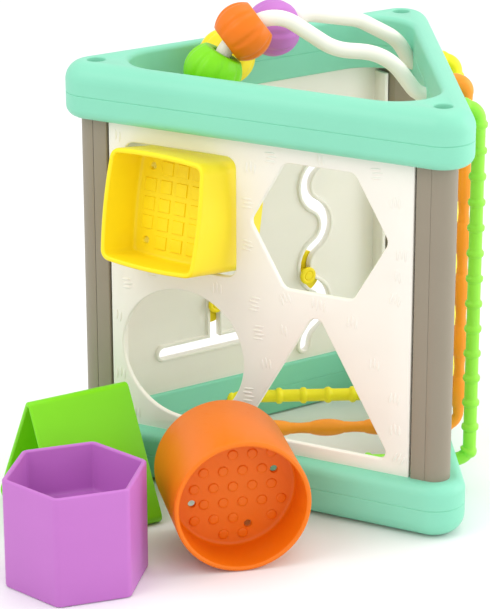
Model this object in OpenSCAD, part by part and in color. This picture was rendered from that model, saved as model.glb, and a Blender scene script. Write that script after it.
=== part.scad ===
// Triangular shape sorter for a toddler: two ring shells, three corner posts, a sorting
// panel, a maze panel, an open side with three soft strands, a bead coaster and four cups.
// Millimetres, +Z up. The sorting panel faces -Y. Side 0 is the sorting panel, side 1 the
// maze panel at the rear left and side 2 the open side at the right; each side is the
// first one turned by -120 degrees about Z.

/* [Frame] */
// Distance between the corner screws along one side
screw_spacing = 165; // [160:1:170]
// How far the rings stand out past the line of the screws
ring_reach = 13.75; // [13:0.25:14.5]
// How far the inner wall of the rings lies outside the line of the screws
inner_reach = 2.65; // [2.2:0.05:3]
// Corner radius of the opening in the rings
opening_r = 19.8; // [18:0.1:21]
// Overall height from the floor to the top of the top ring
frame_h = 191.2; // [190:0.1:193]
// Height of each ring
ring_h = 24.9; // [24:0.1:25.5]
// Height of the big outer shell of each ring, from its outer face to the parting line
cover_h = 13.8; // [13:0.1:14.5]
// Big rounding on the outer edge of a ring
ring_round = 8.5; // [7:0.5:8.5]
// Small rounding on the edge next to the posts
post_edge_round = 5; // [3:0.5:6]
// Wall thickness of the ring shells
ring_wall = 2.4; // [2:0.1:2.6]
// Radius of the screw wells
well_r = 4; // [3.8:0.1:4.2]

/* [Posts] */
// Radius of the posts' outer corner about the screw
post_r = 7; // [6.5:0.1:7.2]
// Distance from the screw to the end of the post's face, along the side
post_face = 8.3; // [8:0.1:8.6]

/* [Panels] */
// Distance from the line of the screws to the outer face of a panel
panel_out = 6.7; // [6.5:0.1:6.9]
// Thickness of a panel
panel_t = 2.6; // [2.4:0.1:2.8]
// Half the width of a panel
panel_half = 73.2; // [72.8:0.1:73.4]
// How deep a panel sits in the groove of each ring
panel_tongue = 1.8; // [1.5:0.1:1.8]
// Depth of the flange along each upright edge
flange_d = 8; // [6:0.5:9]

/* [Sorting holes] */
// Sharp corner radius of the hexagon hole
hexagon_hole_r = 32.8; // [32.6:0.1:33.4]
// Radius of the round hole
round_hole_r = 30.3; // [30.2:0.1:30.8]
// Sharp corner radius of the triangle hole
triangle_hole_r = 42; // [41.5:0.1:42.4]
// Width of the square hole
square_hole_w = 54.8; // [54.6:0.1:56]
// Height of the upper pair of holes
upper_hole_z = 130.3; // [129:0.1:131]

/* [Cups] */
// Wall thickness of the cups
cup_wall = 2.2; // [2:0.1:2.4]
// Depth of the cups
cup_depth = 48.5; // [48:0.1:49.5]
// Depth of the cups' floors below their mouths
cup_floor = 22; // [21:0.5:24]
// Sharp corner radius of the hexagon cup
hexagon_cup_r = 31.2; // [30.8:0.1:31.4]
// Radius of the round cup
round_cup_r = 29.4; // [29:0.1:29.6]
// Side of the triangle cup
triangle_cup_side = 68; // [67:0.1:68.5]
// Width of the square cup at its corners
square_cup_w = 50; // [49.6:0.1:50.2]

/* [Coaster] */
// Radius of the two rods
rod_r = 3.5; // [3.3:0.1:3.6]
// Radius of the bore through a bead
bead_bore_r = 5.2; // [5:0.1:5.3]
// Largest radius of a bead
bead_r = 13; // [12.5:0.1:13]
// Radius of a bead's flat end
bead_end_r = 8.8; // [8:0.1:9]
// Length of a bead
bead_l = 18.4; // [18:0.1:18.6]

/* [Strands] */
// Radius of a strand
strand_r = 3.15; // [3:0.05:3.3]
// Distance between neighbouring strands
strand_gap = 40; // [39:0.5:41]
// Distance from the line of the screws to the upright stretch of a strand
strand_out = 21.2; // [20.5:0.1:22]

/* [Maze] */
// Half the width of the slots
slot_half = 2.6; // [2.5:0.05:2.8]
// Width of the raised rim beside a slot
rim_w = 1.7; // [1.5:0.1:2]
// How far the rim stands up from the inner face
rim_h = 1.2; // [0.8:0.1:1.4]
// Radius of the slider knobs
knob_r = 11; // [10:0.5:12]

/* [Hidden] */
$fn = 96;

// Moves the middle of the whole set's footprint to the origin.
set_shift = [3.74, 39.12, 0];

mint = [0.55, 0.88, 0.77];
taupe = [0.62, 0.58, 0.5];
panel_white = [0.93, 0.91, 0.88];
yellow = [0.97, 0.88, 0.25];
orange = [0.95, 0.5, 0.1];
purple = [0.78, 0.53, 0.83];
green = [0.52, 0.85, 0.15];

inradius = screw_spacing / (2 * sqrt(3));
corner_reach = screw_spacing / sqrt(3);
ring_bottom_z = frame_h - ring_h;
base_h = ring_h - cover_h;
top_parting_z = frame_h - cover_h;
bottom_parting_z = cover_h;
rod_foot_z = 173;
strand_top_z = 178.8;
strand_bottom_z = 14;
pocket_near = inner_reach + ring_wall;
pocket_far = ring_reach - ring_wall;
pocket_half = 66;
corner_steps = 10;              // flats along a round corner
past = 1;                       // how far a cutting shape runs past the face it cuts
screw_r = 1.5;
screw_head_r = 3.5;
screw_head_h = 2.4;
well_depth = 9;
play = 0.05;                    // radial play between a screw and its hole

// ---------------------------------------------------------------- general shapes

module at_side(side) { rotate([0, 0, -120 * side]) children(); }

// Puts a plan shape, drawn as x along the side and z as its height, on the face of a side;
// its extrusion runs outward from the distance given from the line of the screws.
module on_side(side, from) {
    at_side(side) translate([0, -(inradius + from), 0]) rotate([90, 0, 0]) children();
}

module at_corner(index) { rotate([0, 0, -30 - 120 * index]) translate([corner_reach, 0, 0]) children(); }

// Block on a rounded triangle: flat below, its outer edge rounded above.
module rounded_block(h, round_r) {
    hull() for (i = [0:2]) at_corner(i) rotate_extrude($fn = 48) {
        square([ring_reach - round_r, h]);
        square([ring_reach, h - round_r]);
        translate([ring_reach - round_r, h - round_r]) intersection() {
            circle(round_r, $fn = 32);
            square(round_r);
        }
    }
}

// Cutter for the opening of a ring.
module opening_cutter(h) {
    translate([0, 0, -past]) linear_extrude(h + 2 * past)
        rotate(90) rounded_polygon(3, 2 * (inradius + inner_reach), opening_r);
}

// Regular polygon with n corners, sharp corner radius r and round corners.
module rounded_polygon(n, r, corner) {
    centre_r = r - corner / cos(180 / n);
    polygon([for (i = [0:n - 1], k = [0:corner_steps])
        let (out = 360 * i / n, a = out + (2 * k / corner_steps - 1) * 180 / n)
        centre_r * [cos(out), sin(out)] + corner * [cos(a), sin(a)]]);
}

// ---------------------------------------------------------------- bent round bars

function unit(v) = v / norm(v);
function side_of(a) = unit(cross(a, abs(a.z) < 0.9 ? [0, 0, 1] : [1, 0, 0]));

// Points of the arc that rounds corner i of a route.
function corner_arc(p, i, bend) =
    let (a = unit(p[i] - p[i - 1]), b = unit(p[i + 1] - p[i]), turn = acos(a * b),
        inward = cross(unit(cross(a, b)), a), steps = max(2, ceil(turn / 12)),
        centre = p[i] - a * bend * tan(turn / 2) + bend * inward)
    [for (k = [0:steps]) centre + bend * (sin(turn * k / steps) * a - cos(turn * k / steps) * inward)];
function rounded_route(p, bend) =
    concat([p[0]], [for (i = [1:len(p) - 2]) each corner_arc(p, i, bend)], [p[len(p) - 1]]);
function heading(q, i) = unit(q[min(i + 1, len(q) - 1)] - q[max(i - 1, 0)]);
function carried(q, i, n) =
    i == len(q) ? [] : let (t = heading(q, i), m = unit(n - (n * t) * t)) concat([m], carried(q, i + 1, m));

module align(origin, x, y, z) {
    multmatrix([[x.x, y.x, z.x, origin.x], [x.y, y.y, z.y, origin.y],
        [x.z, y.z, z.z, origin.z], [0, 0, 0, 1]]) children();
}

// Round bar of radius r through the points, with an arc of radius bend at each corner.
module bent_bar(points, bend, r, sides) {
    q = rounded_route(points, bend);
    last = len(q) - 1;
    across = carried(q, 0, side_of(heading(q, 0)));
    rim = [for (i = [0:last], k = [0:sides - 1])
        let (n = across[i], b = cross(heading(q, i), n), turn = 360 * k / sides)
        q[i] + r * (cos(turn) * n + sin(turn) * b)];
    walls = [for (i = [0:last - 1], k = [0:sides - 1]) let (next = (k + 1) % sides)
        [i * sides + k, (i + 1) * sides + k, (i + 1) * sides + next, i * sides + next]];
    polyhedron(rim, concat([[for (k = [0:sides - 1]) k]], walls,
        [[for (k = [sides - 1:-1:0]) last * sides + k]]));
}

// ---------------------------------------------------------------- coaster routes

// Both rods rise from the open side's beam, cross the opening in an upright plane and
// come down to the far beam.
front_start = [43.6, 25.1];
front_dir = unit([-95.6, -70.1]);
front_hump = [[-6, rod_foot_z], [3.4, rod_foot_z], [18, 192.8], [41.5, 195.4], [69.1, 214.4],
    [88.1, 200.6], [104, rod_foot_z]];
front_end = front_start + 104 * front_dir;
front_route = concat([for (p = front_hump) [each (front_start + p[0] * front_dir), p[1]]],
    [[front_end.x, front_end.y - 18.8, rod_foot_z]]);
rear_start = [16, 72.7];
rear_dir = unit([-57.5, -72.3]);
rear_hump = [[-6, rod_foot_z], [0.5, rod_foot_z], [8, 185.4], [28, 196.6], [55.5, 202.2],
    [62.5, 197.2], [86, 197.2], [104, rod_foot_z]];
rear_end = rear_start + 104 * rear_dir;
to_maze_wall = [-cos(30), sin(30)];
rear_route = concat([for (p = rear_hump) [each (rear_start + p[0] * rear_dir), p[1]]],
    [[each (rear_end + 17.5 * to_maze_wall), rod_foot_z]]);

// Place and direction of each bead: distance along its rod's plane, height, steepness.
function on_front(s, z) = [each (front_start + s * front_dir), z];
function on_rear(s, z) = [each (rear_start + s * rear_dir), z];

module bead_at(centre, toward) {
    z = unit(toward);
    x = side_of(z);
    align(centre, x, cross(z, x), z) children();
}

// ---------------------------------------------------------------- rings

module well_cuts() {
    for (i = [0:2]) at_corner(i) {
        translate([0, 0, cover_h - well_depth + past]) cylinder(r = well_r, h = well_depth + past);
        translate([0, 0, -past]) cylinder(r = screw_r + play, h = cover_h + past);
    }
}

// The big shell of a ring, parting face down, rounded outer face up.
module ring_cover_shape() {
    difference() {
        rounded_block(cover_h, ring_round);
        opening_cutter(cover_h);
        for (side = [0:2]) at_side(side)
            translate([-pocket_half, -(inradius + pocket_far), -past])
                cube([2 * pocket_half, pocket_far - pocket_near, cover_h - 5 + past]);
        well_cuts();
    }
}

// The shallow shell of a ring, parting face down, post side up.
module ring_base_shape() {
    difference() {
        rounded_block(base_h, post_edge_round);
        opening_cutter(base_h);
        for (side = [0:2]) at_side(side)
            translate([-pocket_half, -(inradius + pocket_far), -past])
                cube([2 * pocket_half, pocket_far - pocket_near, base_h - 4.5 + past]);
        for (side = [0:1]) at_side(side)
            translate([-panel_half - 0.15, -(inradius + panel_out + 0.12), base_h - panel_tongue - 0.2])
                cube([2 * panel_half + 0.3, panel_t + 0.24, panel_tongue + 0.2 + past]);
        for (i = [0:2]) at_corner(i)
            translate([0, 0, -past]) cylinder(r = screw_r + play, h = base_h + 2 * past);
    }
}

// Straight routes of the three strands, used for the strands and for their holes.
function on_open_side(x, out, z) =
    [cos(120) * x + sin(120) * (inradius + out), sin(120) * x - cos(120) * (inradius + out), z];
strand_x = [-strand_gap, 0, strand_gap];
strand_run = [91, 139, 91];     // level run of each strand from the open side's wall to its end
strand_tail = 8.2;
function strand_route(i) = [
    on_open_side(strand_x[i], strand_tail, strand_top_z),
    on_open_side(strand_x[i], strand_out, strand_top_z),
    on_open_side(strand_x[i], strand_out, strand_bottom_z),
    on_open_side(strand_x[i], inner_reach - strand_run[i], strand_bottom_z)];

module strand_top_holes() {
    for (i = [0:2]) bore_along(strand_route(i)[0], strand_route(i)[1], strand_r + 0.1);
}

module strand_bottom_holes() {
    for (i = [0:2]) bore_along(strand_route(i)[2], strand_route(i)[3], strand_r + 0.1);
}

module bore_along(from, to, r) {
    a = unit(to - from);
    x = side_of(a);
    align(from, x, cross(a, x), a) cylinder(r = r, h = norm(to - from));
}

// Room for both rods where they bend into the top ring.
module rod_holes() {
    for (rod = [[front_route, 12], [rear_route, 8]]) let (route = rod[0], n = len(route)) {
        bent_bar([route[0], route[1], route[2]], rod[1], rod_r + 0.1, 16);
        bent_bar([route[n - 3], route[n - 2], route[n - 1]], rod[1], rod_r + 0.1, 16);
    }
}

module top_ring_cover() {
    color(mint) difference() {
        translate([0, 0, top_parting_z]) ring_cover_shape();
        strand_top_holes();
        rod_holes();
    }
}

module top_ring_base() {
    color(mint) difference() {
        translate([0, 0, top_parting_z]) mirror([0, 0, 1]) ring_base_shape();
        strand_top_holes();
        rod_holes();
    }
}

module bottom_ring_cover() {
    color(mint) difference() {
        translate([0, 0, bottom_parting_z]) ring_base_shape();
        strand_bottom_holes();
    }
}

module bottom_ring_base() {
    color(mint) difference() {
        translate([0, 0, bottom_parting_z]) mirror([0, 0, 1]) ring_cover_shape();
        strand_bottom_holes();
    }
}

// ---------------------------------------------------------------- posts

post_h = ring_bottom_z - ring_h;
seam_along = 1.6;

// A point beside the screw, given along a side and outward from it, in the corner's own
// frame with x pointing out of the corner.
function beside(along, out, hand) =
    [-along * cos(30) + out * sin(30), hand * (along * sin(30) + out * cos(30))];
seam_u = beside(seam_along, post_r, 1).x;

module post_outer(index) {
    color(taupe) translate([0, 0, ring_h]) at_corner(index) linear_extrude(post_h) difference() {
        intersection() {
            union() {
                circle(post_r);
                polygon([beside(0, post_r, 1), beside(seam_along, post_r, 1),
                    beside(seam_along, post_r, -1), beside(0, post_r, -1)]);
            }
            translate([seam_u, -post_r - past]) square([post_r, 2 * (post_r + past)]);
        }
        intersection() {
            circle(post_r - 2.2);
            translate([seam_u - past, -post_r]) square([post_r, 2 * post_r]);
        }
    }
}

module post_inner(index) {
    color(taupe) translate([0, 0, ring_h]) at_corner(index) difference() {
        linear_extrude(post_h) polygon([beside(seam_along, post_r, 1), beside(post_face, post_r, 1),
            beside(post_face, -3, 1), beside(post_face, -3, -1),
            beside(post_face, post_r, -1), beside(seam_along, post_r, -1)]);
        translate([-4, -3.5, 30]) cube([4 + seam_u + past, 7, post_h - 60]);
        translate([0, 0, -past]) cylinder(r = screw_r + play, h = post_h + 2 * past);
    }
}

module post_left_outer() { post_outer(1); }
module post_left_inner() { post_inner(1); }
module post_right_outer() { post_outer(0); }
module post_right_inner() { post_inner(0); }
module post_back_outer() { post_outer(2); }
module post_back_inner() { post_inner(2); }

// ---------------------------------------------------------------- panels

panel_bottom_z = ring_h - panel_tongue;
panel_h = ring_bottom_z - ring_h + 2 * panel_tongue;
panel_in = panel_out - panel_t;
flange_gap = 3;

module panel_plate(side) {
    on_side(side, panel_in) translate([-panel_half, panel_bottom_z, 0])
        cube([2 * panel_half, panel_h, panel_t]);
    for (hand = [-1, 1]) at_side(side)
        translate([hand * (panel_half - 1.1) - 1.1, -(inradius + panel_in + past), ring_h + flange_gap])
            cube([2.2, flange_d + past, ring_bottom_z - ring_h - 2 * flange_gap]);
}

hexagon_hole_at = [29.2, upper_hole_z];
square_hole_at = [-38, upper_hole_z];
round_hole_at = [-37.3, 62.7];
triangle_hole_at = [28.2, 51.9];

module sorter_panel() {
    color(panel_white) difference() {
        panel_plate(0);
        on_side(0, panel_in - past) linear_extrude(panel_t + 2 * past) {
            translate(hexagon_hole_at) rounded_polygon(6, hexagon_hole_r, 4.5);
            translate(round_hole_at) circle(round_hole_r);
            translate(triangle_hole_at) rotate(90) rounded_polygon(3, triangle_hole_r, 3.5);
            translate(square_hole_at) rotate(45) rounded_polygon(4, square_hole_w / sqrt(2), 5);
        }
    }
}

// The wavy slot swings about this line; each half wave is one arc.
wave_x = -37;
wave_swing = 6;
half_wave = 20;
wave_r = (half_wave * half_wave / 4 + wave_swing * wave_swing) / (2 * wave_swing);
wave_angle = asin(half_wave / 2 / wave_r);
wave_low_z = 32;
wave_crests = 6;
tee_x = 20;
tee_z = 44.5;
tee_half = 28;
tee_top_z = 112;

// One arc of the wave, as wide as given, between the two angles from its middle.
module wave_arc(half, from, to) {
    far = wave_r + half + past;
    difference() {
        intersection() {
            circle(wave_r + half);
            polygon(concat([[0, 0]], [for (k = [0:2])
                2 * far * [cos(from + (to - from) * k / 2), sin(from + (to - from) * k / 2)]]));
        }
        circle(wave_r - half);
    }
}

function crest_hand(i) = i % 2 == 0 ? 1 : -1;
function crest_z(i) = wave_low_z + i * half_wave;
function crest_centre(i) = [wave_x + crest_hand(i) * (wave_swing - wave_r), crest_z(i)];

module wave_slot(half) {
    for (i = [0:wave_crests - 1])
        translate(crest_centre(i)) rotate(i % 2 * 180)
            wave_arc(half, i == 0 || i == wave_crests - 1 ? 0 : -wave_angle, wave_angle);
    translate([wave_x + wave_swing, crest_z(0)]) circle(half);
    translate([wave_x - wave_swing, crest_z(wave_crests - 1)]) circle(half);
}

module tee_slot(half) {
    translate([tee_x - tee_half, tee_z - half]) square([2 * tee_half, 2 * half]);
    translate([tee_x - tee_half, tee_z]) circle(half);
    translate([tee_x + tee_half, tee_z]) circle(half);
    translate([tee_x - half, tee_z]) square([2 * half, tee_top_z - tee_z]);
    translate([tee_x, tee_top_z]) circle(half);
}

module maze_panel() {
    color(panel_white) difference() {
        union() {
            panel_plate(1);
            on_side(1, panel_in - rim_h) linear_extrude(rim_h + 0.4) {
                wave_slot(slot_half + rim_w);
                tee_slot(slot_half + rim_w);
            }
        }
        on_side(1, panel_in - rim_h - past) linear_extrude(rim_h + panel_t + 2 * past) {
            wave_slot(slot_half);
            tee_slot(slot_half);
        }
    }
}

// ---------------------------------------------------------------- sliders

slider_gap = 0.35;
pin_r = 2.2;
knob_h = 5.5;
clip_r = 4.2;
clip_h = 1.6;
wave_rest_angle = -20.7;
wave_slider_at = crest_centre(2) + wave_r * [cos(wave_rest_angle), sin(wave_rest_angle)];
tee_slider_at = [tee_x, 64];
clip_from = panel_in - rim_h - slider_gap - clip_h;

module slider(at) {
    color(yellow) on_side(1, clip_from) translate(at) {
        cylinder(r = pin_r, h = panel_out + slider_gap - clip_from + past);
        translate([0, 0, panel_out + slider_gap - clip_from]) {
            cylinder(r = knob_r, h = knob_h - 2);
            cylinder(r = knob_r - 2, h = knob_h);
        }
    }
}

module slider_clip(at) {
    color(yellow) on_side(1, clip_from) translate(at) difference() {
        cylinder(r = clip_r, h = clip_h);
        translate([0, 0, -past]) cylinder(r = pin_r, h = clip_h + 2 * past);
    }
}

module wave_slider() { slider(wave_slider_at); }
module wave_slider_clip() { slider_clip(wave_slider_at); }
module tee_slider() { slider(tee_slider_at); }
module tee_slider_clip() { slider_clip(tee_slider_at); }

// ---------------------------------------------------------------- coaster

module front_rod() { color(panel_white) bent_bar(front_route, 12, rod_r, 16); }
module rear_rod() { color(panel_white) bent_bar(rear_route, 8, rod_r, 16); }

// Barrel bead with flat ends and a loose bore, its axis along Z.
barrel_arc_r = (pow(bead_l / 2, 2) + pow(bead_r - bead_end_r, 2)) / (2 * (bead_r - bead_end_r));

module bead() {
    difference() {
        rotate_extrude() intersection() {
            translate([0, -bead_l / 2]) square([bead_r, bead_l]);
            translate([bead_r - barrel_arc_r, 0]) circle(barrel_arc_r);
        }
        cylinder(r = bead_bore_r, h = bead_l + 2 * past, center = true);
    }
}

front_slope = [each 0.809 * front_dir, -0.588];
front_drop = [each 0.505 * front_dir, -0.863];
rear_level = [each rear_dir, 0];
rear_drop = [each 0.597 * rear_dir, -0.802];

module orange_bead() { color(orange) bead_at(on_front(82, 205.1), front_slope) bead(); }
module green_bead() { color(green) bead_at(on_front(95.5, 188), front_drop) bead(); }
module purple_bead() { color(purple) bead_at(on_rear(71, 197.2), rear_level) bead(); }
module yellow_bead() { color(yellow) bead_at(on_rear(94, 186.5), rear_drop) bead(); }

// ---------------------------------------------------------------- strands

module strand(i) { bent_bar(strand_route(i), 5, strand_r, 12); }

module green_strand() { color(green) strand(0); }
module orange_strand() { color(orange) strand(1); }
module yellow_strand() { color(yellow) strand(2); }

// ---------------------------------------------------------------- cups

// An open cup with its mouth at z = 0, a floor part way down and an open hollow beneath
// it; the children are the outer and the inner outline.
module cup() {
    difference() {
        translate([0, 0, -cup_depth]) linear_extrude(cup_depth) children(0);
        translate([0, 0, -cup_floor]) linear_extrude(cup_depth) children(1);
        translate([0, 0, -2 * cup_depth])
            linear_extrude(2 * cup_depth - cup_floor - cup_wall) children(1);
    }
}

// Lays a cup on its side or tips it, so that its mouth looks along the heading.
module face_out(at, heading, rise) {
    translate(at) rotate([90 - rise, 0, heading]) children();
}

// Square whose sides bulge a little, with round corners.
cushion_r = 218;
function bulge(x) = sqrt(cushion_r * cushion_r - x * x);
module cushion_square(w, corner) {
    reach = w / 2 - corner;
    quarter = concat([for (k = [0:6]) [reach, reach] + corner * [cos(15 * k), sin(15 * k)]],
        [for (j = [1:7]) let (x = reach * (1 - j / 4)) [x, w / 2 + bulge(x) - bulge(reach)]]);
    polygon([for (i = [0:3], q = quarter)
        [q.x * cos(90 * i) - q.y * sin(90 * i), q.x * sin(90 * i) + q.y * cos(90 * i)]]);
}

square_cup_at = [-38.5, -(inradius + panel_out), 130.4];
square_cup_heading = -7.2;
square_cup_rise = 11;
square_cup_out = 21;
square_cup_axis = [sin(square_cup_heading) * cos(square_cup_rise),
    -cos(square_cup_heading) * cos(square_cup_rise), sin(square_cup_rise)];

module square_cup() {
    color(yellow) face_out(square_cup_at + square_cup_out * square_cup_axis,
        square_cup_heading, square_cup_rise) cup() {
        cushion_square(square_cup_w, 5);
        cushion_square(square_cup_w - 2 * cup_wall, 5 - cup_wall);
    }
}

hexagon_cup_at = [-32.1, -157.6, 0];
hexagon_cup_turn = 45.6;

module hexagon_cup() {
    color(purple) translate(hexagon_cup_at + [0, 0, cup_depth]) rotate([0, 0, hexagon_cup_turn]) cup() {
        rounded_polygon(6, hexagon_cup_r, 3.6);
        rounded_polygon(6, hexagon_cup_r - cup_wall / cos(30), 3.6 - cup_wall);
    }
}

round_cup_at = [28.3, -122.9, round_cup_r];
round_cup_heading = 39;

module round_cup() {
    color(orange) face_out(round_cup_at, round_cup_heading, 0) cup() {
        circle(round_cup_r);
        circle(round_cup_r - cup_wall);
    }
}

triangle_cup_at = [-78.1, -119.9, triangle_cup_side / (2 * sqrt(3))];
triangle_cup_heading = -32.5;
triangle_corner_r = triangle_cup_side / sqrt(3);

module triangle_cup() {
    color(green) face_out(triangle_cup_at, triangle_cup_heading, 0) rotate([0, 0, 90]) cup() {
        rounded_polygon(3, triangle_corner_r, 3);
        rounded_polygon(3, triangle_corner_r - 2 * cup_wall, 3 - cup_wall);
    }
}

// ---------------------------------------------------------------- screws

screw_l = 34;

module corner_screws(head_z, tilt) {
    for (i = [0:2]) at_corner(i) translate([0, 0, head_z]) rotate([tilt, 0, 0]) {
        cylinder(r = screw_head_r, h = screw_head_h);
        translate([0, 0, -screw_l]) cylinder(r = screw_r, h = screw_l + past);
    }
}

head_seat = frame_h - well_depth + past;

module top_screws() { color("silver") corner_screws(head_seat, 0); }
module bottom_screws() { color("silver") corner_screws(frame_h - head_seat, 180); }

// ---------------------------------------------------------------- assembly

translate(set_shift) {
    top_ring_cover();
    top_ring_base();
    bottom_ring_cover();
    bottom_ring_base();
    post_left_outer();
    post_left_inner();
    post_right_outer();
    post_right_inner();
    post_back_outer();
    post_back_inner();
    sorter_panel();
    maze_panel();
    front_rod();
    rear_rod();
    orange_bead();
    green_bead();
    purple_bead();
    yellow_bead();
    green_strand();
    orange_strand();
    yellow_strand();
    wave_slider();
    wave_slider_clip();
    tee_slider();
    tee_slider_clip();
    square_cup();
    hexagon_cup();
    round_cup();
    triangle_cup();
    top_screws();
    bottom_screws();
}
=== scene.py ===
"""Looks of a triangular shape sorter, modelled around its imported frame.

The toy's sizes are millimetres. Meshes and the studio are in metres. Plan points are measured
from the middle of the triangle; side 0 holds the sorting panel, side 1 the maze panel and
side 2 the strands, each of them the one before turned by -120 degrees.
"""

import logging
import math
from dataclasses import dataclass
from enum import Enum
from typing import Callable, Iterable, Sequence

import bmesh
import bpy
from mathutils import Matrix, Vector


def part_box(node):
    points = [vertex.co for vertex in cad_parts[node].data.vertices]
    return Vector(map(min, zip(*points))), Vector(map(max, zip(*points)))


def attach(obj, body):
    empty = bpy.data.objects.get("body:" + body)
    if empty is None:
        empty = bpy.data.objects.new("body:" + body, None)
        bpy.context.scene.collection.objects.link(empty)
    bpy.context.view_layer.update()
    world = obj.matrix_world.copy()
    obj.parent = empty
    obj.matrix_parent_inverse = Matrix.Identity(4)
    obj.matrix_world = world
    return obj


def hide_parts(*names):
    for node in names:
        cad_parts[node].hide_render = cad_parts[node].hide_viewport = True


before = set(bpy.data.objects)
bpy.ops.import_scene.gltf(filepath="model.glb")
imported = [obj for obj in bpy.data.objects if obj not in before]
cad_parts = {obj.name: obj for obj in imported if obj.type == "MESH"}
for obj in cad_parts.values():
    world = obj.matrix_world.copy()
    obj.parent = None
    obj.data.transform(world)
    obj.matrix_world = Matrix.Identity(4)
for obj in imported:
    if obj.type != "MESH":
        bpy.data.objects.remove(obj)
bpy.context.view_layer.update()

MM = 0.001
Row = tuple[float, float]
Spot = tuple[float, float, float]
Colour = tuple[float, float, float, float]
Outline = list[Vector]
log = logging.getLogger("shape_sorter")


def linear(red: int, green: int, blue: int) -> Colour:
    """Turns a screen colour, 0 to 255, into the linear colour that shaders take."""
    parts = [c / 255 for c in (red, green, blue)]
    return (*(c / 12.92 if c < 0.04045 else ((c + 0.055) / 1.055) ** 2.4 for c in parts), 1.0)


def toned(colour: Colour, gain: float, lift: float = 0.0) -> Colour:
    """Scales a linear colour and lifts it, with each part held at 1."""
    return (*(min(1.0, c * gain + lift) for c in colour[:3]), 1.0)


# ------------------------------------------------------------------ shader wiring


class Signal:
    """A number flowing through a node tree, on which Python arithmetic can be written."""

    def __init__(self, board: "NodeBoard", socket: bpy.types.NodeSocket) -> None:
        """Wraps an output socket of a board's node."""
        self.board = board
        self.socket = socket

    def _join(self, operation: str, first: object, second: object) -> "Signal":
        """Adds the Math node for an expression on two values."""
        made = self.board.node("ShaderNodeMath", {"operation": operation}, {0: first, 1: second})
        return Signal(self.board, made.outputs[0])

    def __add__(self, other: object) -> "Signal":
        """Sum."""
        return self._join("ADD", self, other)

    __radd__ = __add__

    def __mul__(self, other: object) -> "Signal":
        """Product."""
        return self._join("MULTIPLY", self, other)

    __rmul__ = __mul__


class NodeBoard:
    """The node tree of one material."""

    def __init__(self, name: str) -> None:
        """Starts a material that holds only its Principled shader and its output."""
        self.material = bpy.data.materials.new(name)
        self.material.use_nodes = True
        self.tree = self.material.node_tree
        self.shader = next(n for n in self.tree.nodes if n.type == "BSDF_PRINCIPLED")

    def plug(self, socket: bpy.types.NodeSocket, value: object) -> None:
        """Links or sets one input socket.

        Args:
            socket: The input.
            value: A Signal, an output socket, or a plain value.
        """
        if isinstance(value, Signal):
            value = value.socket
        if isinstance(value, bpy.types.NodeSocket):
            self.tree.links.new(value, socket)
        else:
            socket.default_value = value

    def node(self, kind: str, settings: dict, inputs: dict) -> bpy.types.Node:
        """Adds a node.

        Args:
            kind: The node's type.
            settings: Its properties, set first.
            inputs: Values or links by socket name or number.

        Returns:
            The node.
        """
        made = self.tree.nodes.new(kind)
        for key, value in settings.items():
            setattr(made, key, value)
        for key, value in inputs.items():
            self.plug(made.inputs[key], value)
        return made

    def noise(self, place: object, scale: float, detail: float = 2.0) -> Signal:
        """A noise texture's strength at a place."""
        made = self.node("ShaderNodeTexNoise", {}, {"Vector": place, "Scale": scale, "Detail": detail})
        return Signal(self, made.outputs[0])

    def object_place(self, scale: Spot = (1, 1, 1)) -> bpy.types.NodeSocket:
        """Object coordinates, stretched by a scale along each axis."""
        source = self.node("ShaderNodeTexCoord", {}, {}).outputs["Object"]
        return self.node("ShaderNodeMapping", {}, {"Vector": source, "Scale": scale}).outputs[0]

    def blend(self, first: object, second: object, share: object) -> bpy.types.NodeSocket:
        """Mixes two colours by a share."""
        made = self.node("ShaderNodeMix", {"data_type": "RGBA"}, {0: share, 6: first, 7: second})
        return made.outputs[2]

    def window(self, value: Signal, low: float, high: float) -> Signal:
        """Maps a value to 0 at a low limit and 1 at a high one, smoothly between them."""
        made = self.node(
            "ShaderNodeMapRange", {"interpolation_type": "SMOOTHSTEP"},
            {"Value": value, "From Min": low, "From Max": high})
        return Signal(self, made.outputs[0])

    def relief(self, height: Signal, depth: float, strength: float) -> None:
        """Feeds a height through a Bump node to the shader's normal."""
        made = self.node("ShaderNodeBump", {}, {"Height": height, "Distance": depth, "Strength": strength})
        self.plug(self.shader.inputs["Normal"], made.outputs[0])


@dataclass(frozen=True)
class MouldedPlastic:
    """Injection-moulded plastic: cloudy pigment, faint flow lines, fine grain and rub marks."""

    slot: str
    colour: Colour
    roughness: float = 0.36
    grain: float = 0.35
    rub: float = 0.10
    specular: float = 0.32

    def material(self) -> bpy.types.Material:
        """Makes the material."""
        board = NodeBoard(self.slot)
        place = board.object_place()
        cloud = board.noise(place, 26, 3)
        flow = board.noise(board.object_place((14, 14, 90)), 1.0, 3)
        fine = board.noise(place, 1500, 2)
        peel = board.noise(place, 240, 1)
        rubs = board.window(board.noise(board.object_place((240, 700, 240)), 1.0, 5), 0.62, 0.74)
        tint = board.blend(toned(self.colour, 0.93), toned(self.colour, 1.05), cloud * 0.7 + flow * 0.3)
        tint = board.blend(tint, toned(self.colour, 0.9, 0.06), rubs * (0.6 * self.rub))
        shader = board.shader
        board.plug(shader.inputs["Base Color"], tint)
        base = self.roughness - 0.05
        board.plug(shader.inputs["Roughness"], cloud * 0.06 + flow * 0.05 + rubs * self.rub + base)
        shader.inputs["Specular IOR Level"].default_value = self.specular
        board.relief(fine * 0.5 + peel * 0.9 + rubs * -0.25, 0.00012, self.grain)
        return board.material


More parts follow.
